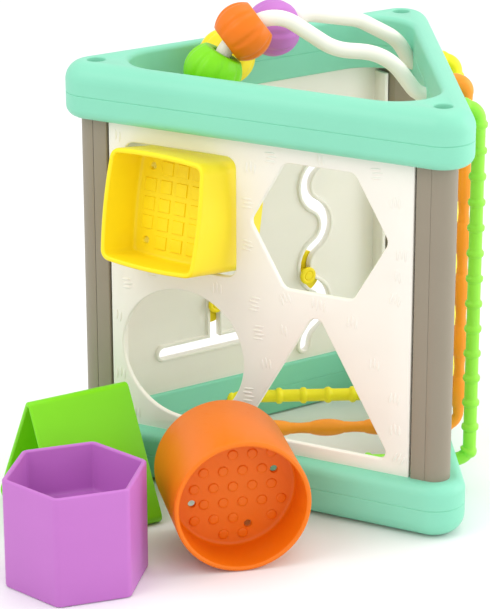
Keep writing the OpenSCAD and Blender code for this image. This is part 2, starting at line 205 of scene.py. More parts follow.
@dataclass(frozen=True)
class SoftSilicone:
    """Soft silicone: matt, with a skin of fine dust."""

    slot: str
    colour: Colour

    def material(self) -> bpy.types.Material:
        """Makes the material."""
        board = NodeBoard(self.slot)
        place = board.object_place()
        cloud = board.noise(place, 70, 3)
        fine = board.noise(place, 2600, 2)
        dust = board.window(board.noise(place, 900, 4), 0.66, 0.76)
        shader = board.shader
        tint = board.blend(toned(self.colour, 0.9), toned(self.colour, 1.06), cloud)
        tint = board.blend(tint, toned(self.colour, 0.8, 0.16), dust * 0.25)
        board.plug(shader.inputs["Base Color"], tint)
        board.plug(shader.inputs["Roughness"], cloud * 0.1 + dust * 0.1 + 0.42)
        shader.inputs["Sheen Weight"].default_value = 0.12
        shader.inputs["Sheen Roughness"].default_value = 0.4
        board.relief(fine + cloud * 0.4, 0.0001, 0.4)
        return board.material


@dataclass(frozen=True)
class PlatedSteel:
    """Zinc-plated screw steel with fine turning marks."""

    slot: str
    colour: Colour

    def material(self) -> bpy.types.Material:
        """Makes the material."""
        board = NodeBoard(self.slot)
        cloud = board.noise(board.object_place(), 900, 3)
        marks = board.noise(board.object_place((9000, 900, 900)), 1.0, 3)
        shader = board.shader
        board.plug(shader.inputs["Base Color"], board.blend(toned(self.colour, 0.7), self.colour, cloud))
        board.plug(shader.inputs["Roughness"], marks * 0.25 + 0.2)
        shader.inputs["Metallic"].default_value = 1.0
        board.relief(marks, 0.00005, 0.4)
        return board.material


class Finish(Enum):
    """The finishes of the toy, one for each material slot of the record."""

    MINT = MouldedPlastic("mint_plastic", linear(134, 212, 182), roughness=0.42)
    TAUPE = MouldedPlastic("taupe_plastic", linear(146, 137, 120), roughness=0.45, grain=0.45)
    PANEL = MouldedPlastic("panel_plastic", linear(238, 235, 225), roughness=0.47, grain=0.3, rub=0.14)
    ROD = MouldedPlastic("rod_plastic", linear(244, 240, 228), roughness=0.3, grain=0.2)
    YELLOW = MouldedPlastic("yellow_plastic", linear(250, 226, 30), roughness=0.4)
    ORANGE = MouldedPlastic("orange_plastic", linear(234, 117, 4), roughness=0.42)
    PURPLE = MouldedPlastic("purple_plastic", linear(190, 114, 194), roughness=0.44)
    GREEN = MouldedPlastic("green_plastic", linear(124, 216, 12), roughness=0.4)
    SOFT_GREEN = SoftSilicone("green_silicone", linear(146, 230, 54))
    SOFT_ORANGE = SoftSilicone("orange_silicone", linear(252, 150, 2))
    SOFT_YELLOW = SoftSilicone("yellow_silicone", linear(252, 238, 2))
    STEEL = PlatedSteel("screw_steel", linear(190, 190, 188))


# ------------------------------------------------------------------ modelling bench


class Ends(Enum):
    """What happens at the first and the last row of a stack."""

    CAPPED = "capped"
    JOINED = "joined"


class Bench:
    """Blender's modelling operators, used on one piece at a time."""

    @staticmethod
    def clear() -> None:
        """Leaves edit mode and deselects everything."""
        if bpy.context.object and bpy.context.object.mode != "OBJECT":
            bpy.ops.object.mode_set(mode="OBJECT")
        bpy.ops.object.select_all(action="DESELECT")

    @classmethod
    def pick(cls, *pieces: bpy.types.Object) -> bpy.types.Object:
        """Selects pieces and makes the first one active."""
        cls.clear()
        for piece in pieces:
            piece.select_set(True)
        bpy.context.view_layer.objects.active = pieces[0]
        return pieces[0]

    @classmethod
    def settle(cls, piece: bpy.types.Object, place: Matrix | None = None) -> bpy.types.Object:
        """Puts a piece in its place, in its mesh, with its object left at the origin."""
        if place is not None:
            piece.matrix_world = place @ piece.matrix_world
        cls.pick(piece)
        bpy.ops.object.transform_apply(location=True, rotation=True, scale=True)
        return piece

    @classmethod
    def stack(cls, name: str, rows: Sequence[Outline], ends: Ends) -> bpy.types.Object:
        """Builds a piece by extruding a loop from row to row.

        Args:
            name: The piece's name.
            rows: Loops of equal length, in metres.
            ends: Whether the two ends are closed or joined to each other.

        Returns:
            The piece, its faces pointing outwards.
        """
        cls.clear()
        bpy.ops.mesh.primitive_circle_add(vertices=len(rows[0]), radius=1.0, location=(0, 0, 0))
        piece = bpy.context.object
        piece.name = name
        bpy.ops.object.mode_set(mode="EDIT")
        bpy.ops.mesh.select_all(action="SELECT")
        verts = bmesh.from_edit_mesh(piece.data).verts
        verts.ensure_lookup_table()
        for vert, point in zip(verts, rows[0]):
            vert.co = point
        for last, row in zip(rows, rows[1:]):
            bpy.ops.mesh.extrude_region_move(TRANSFORM_OT_translate={"value": (0, 0, 0)})
            where = {cls.key(point): i for i, point in enumerate(last)}
            for vert in bmesh.from_edit_mesh(piece.data).verts:
                if vert.select:
                    vert.co = row[where[cls.key(vert.co)]]
            bmesh.update_edit_mesh(piece.data)
        bpy.ops.mesh.select_all(action="DESELECT")
        bpy.ops.mesh.select_non_manifold(extend=False)
        if ends is Ends.CAPPED:
            bpy.ops.mesh.fill_holes(sides=0)
        else:
            bpy.ops.mesh.bridge_edge_loops()
        bpy.ops.mesh.select_all(action="SELECT")
        bpy.ops.mesh.normals_make_consistent(inside=False)
        bpy.ops.object.mode_set(mode="OBJECT")
        return piece

    @staticmethod
    def key(point: Vector) -> tuple[int, ...]:
        """A point's place in whole tenths of a micron, for matching."""
        return tuple(round(c * 1e7) for c in point)

    @classmethod
    def cut(cls, piece: bpy.types.Object, cutters: Iterable[bpy.types.Object]) -> None:
        """Cuts pieces out of another and removes them."""
        for cutter in cutters:
            tool = piece.modifiers.new("cut", "BOOLEAN")
            tool.operation = "DIFFERENCE"
            tool.solver = "EXACT"
            tool.object = cutter
            cls.pick(piece)
            bpy.ops.object.modifier_apply(modifier=tool.name)
            bpy.data.objects.remove(cutter)

    @classmethod
    def join(cls, name: str, pieces: Sequence[bpy.types.Object]) -> bpy.types.Object:
        """Joins pieces into one mesh."""
        whole = cls.pick(*pieces)
        if len(pieces) > 1:
            bpy.ops.object.join()
        whole.name = name
        return whole

    @classmethod
    def smooth(cls, piece: bpy.types.Object, angle: float = 35) -> bpy.types.Object:
        """Shades a piece smooth up to an edge angle in degrees."""
        cls.pick(piece)
        bpy.ops.object.shade_smooth_by_angle(angle=math.radians(angle))
        return piece

    @classmethod
    def turned(cls, name: str, rows: Sequence[Row], place: Matrix, segments: int = 48,
               ends: Ends = Ends.CAPPED, phase: float = 0.0,
               lobes: Callable[[float, float, float], float] | None = None) -> bpy.types.Object:
        """Turns a piece about its own Z.

        Args:
            name: The piece's name.
            rows: Radius and height of each row, in millimetres.
            place: From the piece's own space, in millimetres, to the toy's.
            segments: Number of flats round the axis.
            ends: Closed ends, or ends joined as round a bore.
            phase: Angle of the first corner in degrees.
            lobes: Changes a radius by its angle and height.

        Returns:
            The piece.
        """
        loops = []
        for radius, height in rows:
            loop = []
            for k in range(segments):
                turn = math.radians(phase) + 2 * math.pi * k / segments
                reach = lobes(radius, height, turn) if lobes else radius
                loop.append(place @ Vector((reach * math.cos(turn), reach * math.sin(turn), height)) * MM)
            loops.append(loop)
        return cls.stack(name, loops, ends)

    @classmethod
    def pipe(cls, name: str, points: Sequence[Vector], radii: Sequence[float],
             sides: int) -> bpy.types.Object:
        """Runs a round bar through points.

        Args:
            name: The piece's name.
            points: The route, in metres.
            radii: Radius at each point, in millimetres.
            sides: Resolution of the bar's section.

        Returns:
            The bar as a mesh.
        """
        cls.clear()
        curve = bpy.data.curves.new(name, "CURVE")
        curve.dimensions = "3D"
        curve.bevel_depth = MM
        curve.bevel_resolution = sides
        curve.use_fill_caps = True
        spline = curve.splines.new("POLY")
        spline.points.add(len(points) - 1)
        for spot, point, radius in zip(spline.points, points, radii):
            spot.co = (*point, 1.0)
            spot.radius = radius
        piece = bpy.data.objects.new(name, curve)
        bpy.context.scene.collection.objects.link(piece)
        cls.pick(piece)
        bpy.ops.object.convert(target="MESH")
        bpy.ops.object.mode_set(mode="EDIT")
        bpy.ops.mesh.select_all(action="SELECT")
        bpy.ops.mesh.remove_doubles(threshold=1e-7)
        bpy.ops.mesh.normals_make_consistent(inside=False)
        bpy.ops.object.mode_set(mode="OBJECT")
        return piece

    @classmethod
    def slab(cls, name: str, low: Sequence[float], high: Sequence[float], edge: float,
             place: Matrix) -> bpy.types.Object:
        """A block between two corners in millimetres, its edges eased by a bevel."""
        cls.clear()
        middle = [(a + b) / 2 * MM for a, b in zip(low, high)]
        size = [(b - a) * MM for a, b in zip(low, high)]
        bpy.ops.mesh.primitive_cube_add(size=1.0, location=middle, scale=size)
        piece = bpy.context.object
        piece.name = name
        bpy.ops.object.transform_apply(location=True, rotation=True, scale=True)
        bpy.ops.object.mode_set(mode="EDIT")
        bpy.ops.mesh.select_all(action="SELECT")
        bpy.ops.mesh.bevel(offset=edge * MM, segments=3, affect="EDGES")
        bpy.ops.object.mode_set(mode="OBJECT")
        piece.data.transform(metre_place(place))
        return piece


def metre_place(place: Matrix) -> Matrix:
    """A placement in millimetres as one in metres."""
    moved = place.copy()
    moved.translation = place.translation * MM
    return moved


def rounded(corners: Sequence[tuple[float, float]], radius: float, steps: int) -> Outline:
    """Rounds every corner of an outline that runs anticlockwise.

    Args:
        corners: Sharp corners in millimetres.
        radius: Radius of every corner.
        steps: Flats along each round corner.

    Returns:
        The outline's points, at height 0.
    """
    points = []
    for i, corner in enumerate(corners):
        spot = Vector(corner)
        back = (Vector(corners[i - 1]) - spot).normalized()
        ahead = (Vector(corners[(i + 1) % len(corners)]) - spot).normalized()
        half = back.angle(ahead) / 2
        middle = spot + (back + ahead).normalized() * radius / math.sin(half)
        arm = spot + back * radius / math.tan(half) - middle
        hand = 1 if -back.cross(ahead) > 0 else -1
        for k in range(steps + 1):
            turn = hand * (math.pi - 2 * half) * k / steps
            points.append(Vector((
                middle.x + arm.x * math.cos(turn) - arm.y * math.sin(turn),
                middle.y + arm.x * math.sin(turn) + arm.y * math.cos(turn), 0)))
    return points


def ngon(count: int, reach: float, phase: float = 0.0) -> list[tuple[float, float]]:
    """Corners of a regular outline with its sharp corners at a distance."""
    turns = [math.radians(phase + 360 * i / count) for i in range(count)]
    return [(reach * math.cos(t), reach * math.sin(t)) for t in turns]


def eased(start: Row, bend: float, lie: int, steps: int = 5) -> list[Row]:
    """Quarter-circle rows, as an inset and a height, that turn an edge.

    Args:
        start: Inset and height of the sharp edge.
        bend: Radius of the edge.
        lie: 1 to climb from the wall to the face above, -1 to fall the other way.
        steps: Flats along the quarter.

    Returns:
        The rows.
    """
    inset, height = start
    rows = []
    for k in range(steps + 1):
        turn = math.pi / 2 * k / steps
        rows.append((inset + bend * (1 - math.cos(turn)), height - bend + bend * math.sin(turn)))
    return rows if lie > 0 else rows[::-1]


# ------------------------------------------------------------------ the toy's own frame


@dataclass(frozen=True)
class Triangle:
    """Main sizes of the frame, shared by all sub-assemblies."""

    spacing: float = 165.0
    reach: float = 13.75
    opening: float = 2.65
    height: float = 191.2
    ring: float = 24.9
    cover: float = 13.8
    panel_out: float = 6.7
    panel_thick: float = 2.6

    @property
    def inradius(self) -> float:
        """Distance from the middle to the line of the screws."""
        return self.spacing / (2 * math.sqrt(3))

    @property
    def corner(self) -> float:
        """Distance from the middle to a screw."""
        return self.spacing / math.sqrt(3)

    @property
    def home(self) -> Matrix:
        """Moves the middle of the triangle to where the CAD has it, in millimetres."""
        low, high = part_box("top_ring_cover")
        x = (low.x + high.x) / 2 / MM
        return Matrix.Translation((x, high.y / MM - self.corner - self.reach, 0))

    def at_side(self, side: int) -> Matrix:
        """From side 0's space to that of a side, at home."""
        return self.home @ Matrix.Rotation(math.radians(-120 * side), 4, "Z")

    def at_corner(self, index: int) -> Matrix:
        """From a corner's own space, x pointing out along the corner, to the toy's."""
        turn = Matrix.Rotation(math.radians(-30 - 120 * index), 4, "Z")
        return self.home @ turn @ Matrix.Translation((self.corner, 0, 0))

    def on_face(self, side: int, out: float) -> Matrix:
        """From x along a side, y up and z outward, to the toy's."""
        return (self.at_side(side) @ Matrix.Translation((0, -(self.inradius + out), 0))
                @ Matrix.Rotation(math.radians(90), 4, "X"))


TRIANGLE = Triangle()


@dataclass
class Piece:
    """A finished piece, with what it rides on and stands for."""

    shape: bpy.types.Object
    finish: Finish
    body: str
    nodes: tuple[str, ...] = ()

    def install(self, materials: dict[Finish, bpy.types.Material]) -> None:
        """Dresses the piece and hands it to the frame."""
        self.shape.data.materials.clear()
        self.shape.data.materials.append(materials[self.finish])
        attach(self.shape, self.body)
        if self.nodes:
            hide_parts(*self.nodes)
        log.info("%s rides on %s, %d faces", self.shape.name, self.body, len(self.shape.data.polygons))


@dataclass
class RingShells:
    """The four mint shells: a big outer one and a shallow one for each ring."""

    big_round: float = 8.5
    post_round: float = 5.0
    lead: float = 2.4
    opening_round: float = 19.8
    break_edge: float = 0.3
    well: float = 4.0
    well_depth: float = 8.0
    corner_steps: int = 18

    def outer(self, inset: float) -> Outline:
        """Outer outline, drawn in by an inset."""
        t = TRIANGLE
        return rounded(ngon(3, 2 * (t.inradius + t.reach - inset), -30), t.reach - inset, self.corner_steps)

    def inner(self, grow: float) -> Outline:
        """Outline of the opening, grown outwards."""
        t = TRIANGLE
        corners = ngon(3, 2 * (t.inradius + t.opening + grow), -30)
        return rounded(corners, self.opening_round + grow, self.corner_steps)

    def shell(self, name: str, parting: float, lie: int, tall: float, bend: float,
              lead: float) -> bpy.types.Object:
        """Builds one shell.

        Args:
            name: The piece's name.
            parting: Height of the parting line.
            lie: 1 if the shell rises from the parting line, -1 if it hangs below.
            tall: Height of the shell.
            bend: Radius of its far outer edge.
            lead: Radius of its far inner edge.

        Returns:
            The shell.
        """
        small = self.break_edge
        rows = [(self.outer(small), 0.0), (self.outer(0), small)]
        rows += [(self.outer(i), h) for i, h in eased((0, tall), bend, 1, 12)]
        rows += [(self.inner(g), h) for g, h in eased((0, tall), lead, -1, 6)]
        rows += [(self.inner(0), small), (self.inner(small), 0.0)]
        home = TRIANGLE.home
        loops = [[home @ Vector((p.x, p.y, parting + lie * h)) * MM for p in line] for line, h in rows]
        return Bench.stack(name, loops, Ends.JOINED)

    def well_cutter(self, index: int, face: float, lie: int) -> bpy.types.Object:
        """A flared screw well at one corner of a ring's outer face."""
        rows = [(self.well + 0.9, 0.5), (self.well + 0.55, 0.02), (self.well + 0.2, -0.2), (self.well, -0.6),
                (self.well - 0.15, -self.well_depth)]
        place = TRIANGLE.at_corner(index) @ Matrix.Translation((0, 0, face))
        return Bench.turned("well", rows, place @ Matrix.Diagonal((1, 1, lie, 1)), 40)

    def build(self) -> list[Piece]:
        """Builds the four shells."""
        t = TRIANGLE
        top = t.height - t.cover
        shallow = t.ring - t.cover
        top_cover = self.shell("top_cover_shell", top, 1, t.cover, self.big_round, self.lead)
        top_base = self.shell("top_base_shell", top, -1, shallow, self.post_round, 1.2)
        low_cover = self.shell("bottom_cover_shell", t.cover, 1, shallow, self.post_round, 1.2)
        low_base = self.shell("bottom_base_shell", t.cover, -1, t.cover, self.big_round, self.lead)
        Bench.cut(top_cover, [self.well_cutter(i, t.height, 1) for i in range(3)])
        Bench.cut(low_base, [self.well_cutter(i, 0, -1) for i in range(3)])
        made = [(top_cover, "top_ring_cover"), (top_base, "top_ring_base"),
                (low_cover, "bottom_ring_cover"), (low_base, "bottom_ring_base")]
        return [Piece(Bench.smooth(shape, 40), Finish.MINT, "frame", (node,)) for shape, node in made]


@dataclass
class CornerPosts:
    """Three corner posts, each a round outer half and a square inner half."""

    radius: float = 7.0
    seam: float = 1.6
    face: float = 8.3
    ease: float = 0.45

    def beside(self, along: float, out: float, hand: int) -> tuple[float, float]:
        """A point beside the screw, given along a side and outward, in the corner's space."""
        return (-along * math.cos(math.pi / 6) + out * 0.5,
                hand * (along * 0.5 + out * math.cos(math.pi / 6)))

    def outer_outline(self) -> Outline:
        """Section of the round half."""
        arc = [Vector((*ngon(1, self.radius, -60 + 120 * k / 16)[0], 0)) for k in range(17)]
        x, y = self.beside(self.seam, self.radius, 1)
        ease = self.ease
        back = [(x + 0.866 * ease, y - 0.5 * ease), (x + 0.2 * ease, y - 0.3 * ease), (x, y - ease)]
        upper = [Vector((a, b, 0)) for a, b in back]
        return arc + upper + [Vector((p.x, -p.y, 0)) for p in reversed(upper)]

    def inner_outline(self) -> Outline:
        """Section of the square half."""
        near = [self.beside(self.seam + 0.08, self.radius, 1), self.beside(self.face, self.radius, 1),
                self.beside(self.face, -3, 1)]
        return rounded(near + [(x, -y) for x, y in reversed(near)], self.ease, 4)

    def build(self) -> list[Piece]:
        """Builds both halves of every post."""
        t = TRIANGLE
        pieces = []
        for index, where in enumerate(("right", "left", "back")):
            for half, outline in (("outer", self.outer_outline()), ("inner", self.inner_outline())):
                place = t.at_corner(index)
                rows = [[place @ Vector((p.x, p.y, z)) * MM for p in outline]
                        for z in (t.ring - 0.4, t.height - t.ring + 0.4)]
                shape = Bench.smooth(Bench.stack(f"{where}_post_{half}_half", rows, Ends.CAPPED), 30)
                pieces.append(Piece(shape, Finish.TAUPE, "frame", (f"post_{where}_{half}",)))
        return pieces


class Panel:
    """What the two panels share: a plate with folded edges on one side of the toy."""

    half: float = 73.2
    tongue: float = 1.8
    flange: float = 8.0
    fold_thick: float = 2.2
    fold_gap: float = 3.0

    def plate(self, name: str, side: int) -> bpy.types.Object:
        """The plate itself, its faces plain."""
        t = TRIANGLE
        near, far = -(t.inradius + t.panel_out), -(t.inradius + t.panel_out - t.panel_thick)
        low = (-self.half, near, t.ring - self.tongue + 0.1)
        high = (self.half, far, t.height - t.ring + self.tongue - 0.1)
        return Bench.slab(name, low, high, 0.5, t.at_side(side))

    def folds(self, side: int) -> list[bpy.types.Object]:
        """The upright folded edges behind the plate."""
        t = TRIANGLE
        back = -(t.inradius + t.panel_out - t.panel_thick)
        made = []
        for hand in (-1, 1):
            ends = sorted((hand * self.half, hand * (self.half - self.fold_thick)))
            low = (ends[0], back - 1.2, t.ring + self.fold_gap)
            high = (ends[1], back + self.flange, t.height - t.ring - self.fold_gap)
            made.append(Bench.slab("fold", low, high, 0.5, t.at_side(side)))
        return made

    def hole_cutter(self, outline: Callable[[float], Outline], side: int) -> bpy.types.Object:
        """A cutter whose hole has eased edges on both faces.

        Args:
            outline: Gives the hole's outline, grown by a distance.
            side: The side of the toy.

        Returns:
            The cutter.
        """
        t = TRIANGLE
        outside, inside = t.panel_out, t.panel_out - t.panel_thick
        rows = [(1.3, outside + 0.8)]
        rows += [(0.8 - 0.8 * math.sin(a), outside - 0.8 + 0.8 * math.cos(a) + 0.005)
                 for a in (math.pi / 2 * k / 5 for k in range(6))]
        rows += [(0.5 - 0.5 * math.cos(a), inside + 0.5 - 0.5 * math.sin(a) - 0.005)
                 for a in (math.pi / 2 * k / 4 for k in range(5))]
        rows += [(0.9, inside - 0.8)]
        face = t.on_face(side, 0)
        loops = [[face @ Vector((p.x, p.y, out)) * MM for p in outline(grow)] for grow, out in rows]
        return Bench.stack("hole", loops, Ends.CAPPED)


@dataclass
class SorterPanel(Panel):
    """The sorting panel: four holes and small raised strokes in groups."""

    hexagon: Spot = (29.2, 130.3, 32.8)
    circle: Spot = (-37.3, 62.7, 30.3)
    triangle: Spot = (28.2, 51.9, 42.0)
    square: Spot = (-38.0, 130.3, 54.8)
    stroke: Spot = (2.6, 0.62, 0.42)
    groups: tuple[tuple[float, float, float, int], ...] = (
        (-3.5, 154.5, 86, 3), (-4.8, 138.2, 4, 3), (-4.8, 119.0, -6, 3), (64.7, 148.5, 95, 3),
        (65.6, 105.5, 78, 3), (13.5, 97.6, 112, 3), (29.6, 97.3, 88, 4), (-1.5, 92.5, -4, 4),
        (45.5, 92.0, 84, 3), (56.0, 160.0, 8, 3), (13.0, 82.5, 94, 2), (0.6, 79.5, 3, 4),
        (4.4, 65.7, 98, 3), (56.2, 74.5, 86, 3), (66.0, 60.5, 80, 3), (-4.4, 49.4, 4, 4),
        (66.5, 46.0, 94, 3), (68.6, 33.0, 68, 3), (-64.9, 92.0, 6, 3), (-69.8, 76.0, 88, 2),
        (-69.2, 48.6, 92, 3), (-68.7, 160.0, 90, 2), (-20.0, 97.0, 92, 3), (-52.0, 98.4, 4, 2),
        (-14.0, 31.0, 8, 3), (-62.0, 30.6, 96, 3), (66.5, 116.0, 90, 2), (6.4, 160.2, 4, 3),
        (-69.5, 113.0, 88, 3), (68.0, 126.0, 90, 3), (30.0, 162.5, 92, 2))

    def outlines(self) -> list[Callable[[float], Outline]]:
        """The four holes, each as a function of its growth."""

        def shaped(count: int, spot: Spot, bend: float, phase: float) -> Callable[[float], Outline]:
            """One straight-sided hole."""
            def grown(grow: float) -> Outline:
                """The hole's outline, grown."""
                reach = spot[2] + grow / math.cos(math.pi / count)
                line = rounded(ngon(count, reach, phase), bend + grow, 8)
                return [p + Vector((spot[0], spot[1], 0)) for p in line]
            return grown

        def ring(grow: float) -> Outline:
            """The round hole's outline, grown."""
            x, y, reach = self.circle
            return [Vector((x + a, y + b, 0)) for a, b in ngon(120, reach + grow)]

        square = (*self.square[:2], self.square[2] / math.sqrt(2))
        return [shaped(6, self.hexagon, 4.5, 0), shaped(3, self.triangle, 3.5, 90),
                shaped(4, square, 5, 45), ring]

    def strokes(self) -> bpy.types.Object:
        """The raised strokes, one model copied to every place."""
        t = TRIANGLE
        face = metre_place(t.on_face(0, t.panel_out - 0.05))
        Bench.clear()
        bpy.ops.mesh.primitive_uv_sphere_add(segments=14, ring_count=8, radius=MM)
        model = bpy.context.object
        bpy.ops.transform.resize(value=self.stroke)
        bpy.ops.object.mode_set(mode="EDIT")
        bpy.ops.mesh.select_all(action="SELECT")
        bpy.ops.mesh.bisect(plane_co=(0, 0, -0.1 * MM), plane_no=(0, 0, 1), clear_inner=True, use_fill=True)
        bpy.ops.object.mode_set(mode="OBJECT")
        Bench.settle(model)
        copies = []
        for x, z, lean, count in self.groups:
            for k in range(count):
                step = (k - (count - 1) / 2) * 1.9
                turn = Matrix.Rotation(math.radians(lean + 3 * (k % 2) - 2), 4, "Z")
                aside = Matrix.Rotation(math.radians(lean), 4, "Z") @ Vector(((k % 2) * 0.8 - 0.4, step, 0))
                copy = model.copy()
                copy.data = model.data.copy()
                bpy.context.scene.collection.objects.link(copy)
                spot = Matrix.Translation(Vector((x + aside.x, z + aside.y, 0)) * MM)
                copy.data.transform(face @ spot @ turn)
                copies.append(copy)
        bpy.data.objects.remove(model)
        return Bench.smooth(Bench.join("sorter_panel_strokes", copies), 60)

    def build(self) -> list[Piece]:
        """Builds the plate and its strokes."""
        plate = self.plate("sorter_plate", 0)
        Bench.cut(plate, [self.hole_cutter(outline, 0) for outline in self.outlines()])
        whole = Bench.join("sorter_plate", [plate] + self.folds(0))
        return [Piece(Bench.smooth(whole, 35), Finish.PANEL, "frame", ("sorter_panel",)),
                Piece(self.strokes(), Finish.PANEL, "frame")]


@dataclass
class MazePanel(Panel):
    """The maze panel: a wavy slot and a tee slot, each lined with a raised rim."""

    wave_x: float = -37.0
    swing: float = 6.0
    half_wave: float = 20.0
    wave_foot: float = 32.0
    crests: int = 6
    tee: tuple[float, float, float, float] = (20.0, 44.5, 28.0, 112.0)
    slot: float = 2.6
    rim: float = 1.7
    rise: float = 1.2

    @property
    def bend(self) -> float:
        """Radius of each arc of the wave."""
        return (self.half_wave ** 2 / 4 + self.swing ** 2) / (2 * self.swing)

    def wave_line(self) -> list[tuple[Vector, Vector]]:
        """Points along the wave with their left-hand normals."""
        reach = math.asin(self.half_wave / 2 / self.bend)
        line = []
        for i in range(self.crests):
            hand = 1 if i % 2 == 0 else -1
            middle = Vector((self.wave_x + hand * (self.swing - self.bend),
                             self.wave_foot + i * self.half_wave))
            start = 0 if i == 0 else -reach
            end = 0 if i == self.crests - 1 else reach
            for k in range(11):
                turn = start + (end - start) * k / 10
                arm = Vector((hand * math.cos(turn), math.sin(turn)))
                if line and k == 0:
                    continue
                line.append((middle + arm * self.bend, -hand * arm))
        return line

    def wave(self, half: float) -> Outline:
        """Outline of the wavy slot at half its width."""
        line = self.wave_line()
        left = [p + n * half for p, n in line]
        right = [p - n * half for p, n in line]
        top = self.cap(line[-1][0], 0, half)
        foot = self.cap(line[0][0], 180, half)
        flat = right + top + left[::-1] + foot
        return [Vector((p.x, p.y, 0)) for p in flat]

    @staticmethod
    def cap(middle: Vector, start: float, half: float) -> list[Vector]:
        """The points between the two ends of a half circle, anticlockwise from an angle."""
        turns = [math.radians(start + 180 * k / 12) for k in range(1, 12)]
        return [Vector((middle[0] + half * math.cos(t), middle[1] + half * math.sin(t))) for t in turns]

    def tee_outline(self, half: float) -> Outline:
        """Outline of the tee slot at half its width."""
        x, z, arm, top = self.tee
        left, right = Vector((x - arm, z)), Vector((x + arm, z))
        flat = [Vector((x - arm, z - half)), Vector((x + arm, z - half))]
        flat += self.cap(right, -90, half) + [Vector((x + arm, z + half)), Vector((x + half, z + half))]
        flat += [Vector((x + half, top))] + self.cap(Vector((x, top)), 0, half) + [Vector((x - half, top))]
        flat += [Vector((x - half, z + half)), Vector((x - arm, z + half))] + self.cap(left, 90, half)
        return [Vector((p[0], p[1], 0)) for p in flat]

    def lining(self, outline: Callable[[float], Outline]) -> bpy.types.Object:
        """The raised rim of a slot with the slot's own wall, as one closed band."""
        t = TRIANGLE
        inside, outside = t.panel_out - t.panel_thick, t.panel_out
        s, r, h = self.slot, self.rim, self.rise
        rows = [(s + 0.9, inside + 0.6), (s + r + 0.35, inside + 0.1), (s + r + 0.1, inside - 0.12),
                (s + r - 0.1, inside - 0.6 * h), (s + r - 0.3, inside - 0.88 * h),
                (s + r - 0.65, inside - h), (s + 0.45, inside - h), (s + 0.16, inside - 0.9 * h),
                (s, inside - 0.65 * h), (s, outside - 0.45), (s + 0.14, outside - 0.12),
                (s + 0.45, outside + 0.01), (s + 0.9, outside - 0.3)]
        face = t.on_face(1, 0)
        loops = [[face @ Vector((p.x, p.y, out)) * MM for p in outline(half)] for half, out in rows]
        return Bench.stack("lining", loops, Ends.JOINED)

    def slot_cutter(self, outline: Callable[[float], Outline]) -> bpy.types.Object:
        """A straight cutter inside a lining."""
        t = TRIANGLE
        face = t.on_face(1, 0)
        loops = [[face @ Vector((p.x, p.y, out)) * MM for p in outline(self.slot + 0.6)]
                 for out in (t.panel_out + 1, t.panel_out - t.panel_thick - 1)]
        return Bench.stack("slot", loops, Ends.CAPPED)

    def build(self) -> list[Piece]:
        """Builds the plate, its folds and the slots' linings."""
        plate = self.plate("maze_plate", 1)
        shapes = (self.wave, self.tee_outline)
        Bench.cut(plate, [self.slot_cutter(shape) for shape in shapes])
        whole = Bench.join("maze_plate", [plate] + self.folds(1) + [self.lining(shape) for shape in shapes])
        return [Piece(Bench.smooth(whole, 35), Finish.PANEL, "frame", ("maze_panel",))]


@dataclass
class Sliders:
    """The two sliders: a grooved knob outside, a pin through the slot and a clip inside."""

    knob: float = 11.0
    pin: float = 2.2
    clip: float = 4.2
    clip_thick: float = 1.6
    gap: float = 0.35
    wave_rest: float = -20.7
    tee_spot: tuple[float, float] = (20.0, 64.0)

    def wave_spot(self) -> tuple[float, float]:
        """Where the wave slider stands, along the side and in height."""
        maze = MazePanel()
        middle = maze.wave_x + maze.swing - maze.bend
        turn = math.radians(self.wave_rest)
        height = maze.wave_foot + 2 * maze.half_wave
        return (middle + maze.bend * math.cos(turn), height + maze.bend * math.sin(turn))

    def slider(self, name: str, spot: tuple[float, float]) -> list[bpy.types.Object]:
        """A knob with its pin, and its clip."""
        t = TRIANGLE
        place = t.on_face(1, t.panel_out + self.gap) @ Matrix.Translation((*spot, 0))
        r = self.knob
        tail = t.panel_thick + MazePanel.rise + 2 * self.gap + self.clip_thick
        rows = [(1.2, -tail), (self.pin - 0.3, -tail), (self.pin, -tail + 0.3), (self.pin, 0),
                (r - 0.9, 0), (r - 0.2, 0.3), (r, 0.9), (r, 2.4), (r - 0.25, 3.0), (r - 0.8, 3.4),
                (r - 1.7, 3.6), (r - 2.1, 3.9), (r - 2.4, 4.5), (r - 3.0, 5.1),
                (r - 4.0, 5.45), (r - 5.0, 5.4), (r - 5.6, 5.0), (r - 6.6, 4.7), (r - 8.0, 4.6), (0.6, 4.6)]
        knob = Bench.turned(name, rows, place, 64)
        low, high = -tail, -tail + self.clip_thick
        ring = [(self.pin + 0.02, low + 0.2), (self.pin + 0.4, low), (self.clip - 0.5, low),
                (self.clip, low + 0.4), (self.clip, high - 0.3), (self.clip - 0.3, high),
                (self.pin + 0.02, high)]
        clip = Bench.turned(name + "_clip_ring", ring, place, 40, Ends.JOINED)
        return [knob, clip]

    def build(self) -> list[Piece]:
        """Builds both sliders."""
        pieces = []
        for word, spot in (("wave", self.wave_spot()), ("tee", self.tee_spot)):
            knob, clip = self.slider(f"{word}_knob", spot)
            body = f"{word}_slider"
            pieces.append(Piece(Bench.smooth(knob, 40), Finish.YELLOW, body, (body,)))
            pieces.append(Piece(Bench.smooth(clip, 40), Finish.YELLOW, body, (body + "_clip",)))
        return pieces


